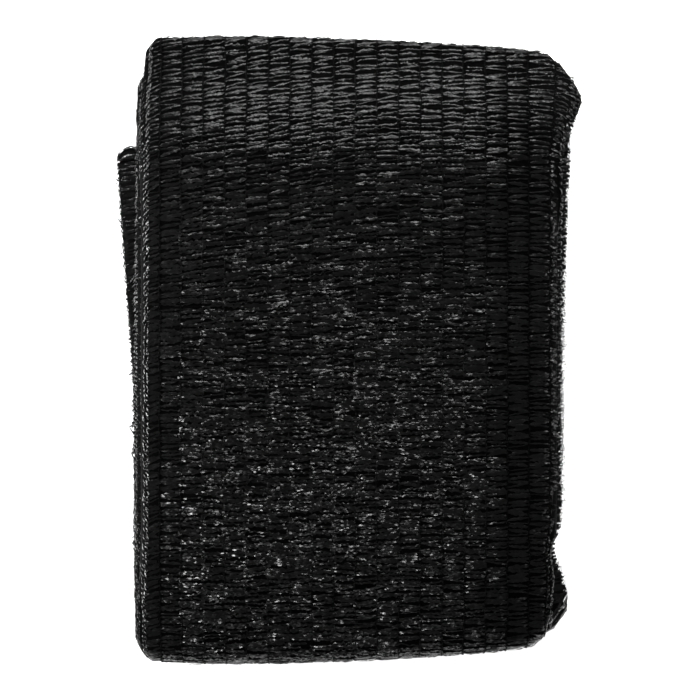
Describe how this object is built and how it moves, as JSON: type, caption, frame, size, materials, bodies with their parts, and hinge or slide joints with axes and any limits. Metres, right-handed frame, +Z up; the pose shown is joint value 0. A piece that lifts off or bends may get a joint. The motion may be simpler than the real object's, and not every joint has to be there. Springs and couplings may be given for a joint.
{
  "type": "folded shade netting",
  "caption": "Black knitted shade net, folded lengthwise into a strip and laid back and forth into a flat pack with round folds at both ends.",
  "frame": {"origin": "middle of the pack's box, on the surface that it lies on", "axes": "+Z up from the surface, +Y along the pack's length towards the top layer's round fold, +X across the strip's width"},
  "size_m": [0.2734, 0.3701, 0.0483],
  "materials": {
    "black_net": "satin"
  },
  "bodies": {
    "root": {"netting": "black_net"}
  },
  "joints": []
}
